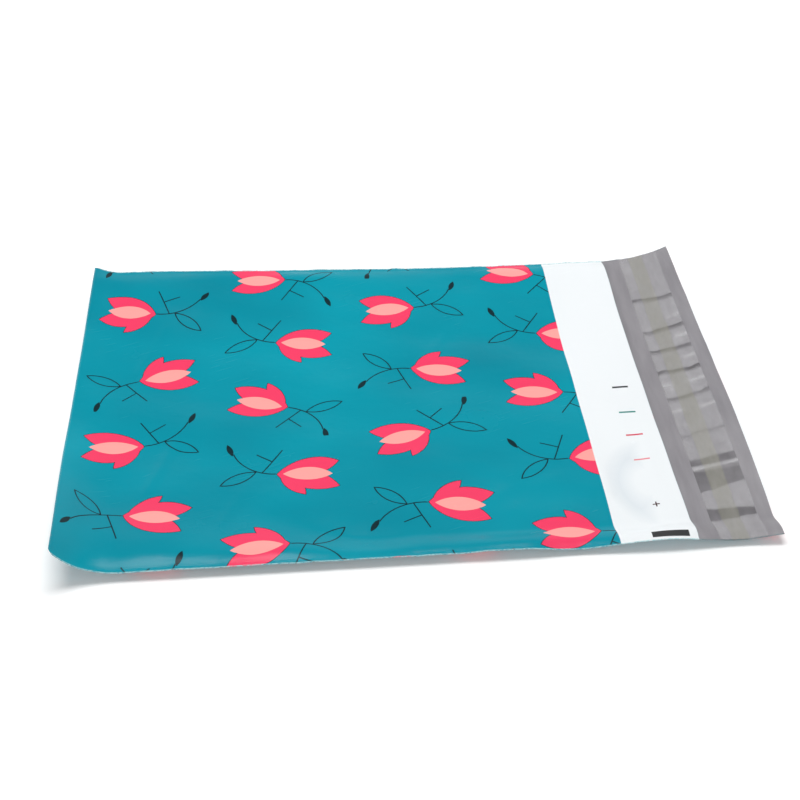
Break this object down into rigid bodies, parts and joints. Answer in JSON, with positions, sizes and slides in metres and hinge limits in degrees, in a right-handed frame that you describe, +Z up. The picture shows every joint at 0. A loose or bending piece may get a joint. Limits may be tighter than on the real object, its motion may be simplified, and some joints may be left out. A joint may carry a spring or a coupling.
{
  "type": "poly mailer bag",
  "caption": "Flat poly mailer bag of folded and side-welded film, with a closing flap, a glue strip and its clear release liner.",
  "frame": {"origin": "on the ground under the middle of the lying bag", "axes": "+X from the bottom fold towards the end of the flap, +Y across the bag, +Z up out of the printed front"},
  "size_m": [0.3736, 0.254, 0.0233],
  "materials": {
    "printed_film": "satin gloss polyethylene film, teal print outside, grey inside",
    "hot_melt": "tacky translucent hot-melt glue",
    "liner_film": "glossy clear release film"
  },
  "bodies": {
    "root": {"bag_film": "printed_film", "adhesive_strip": "hot_melt", "release_liner": "liner_film"}
  },
  "joints": []
}
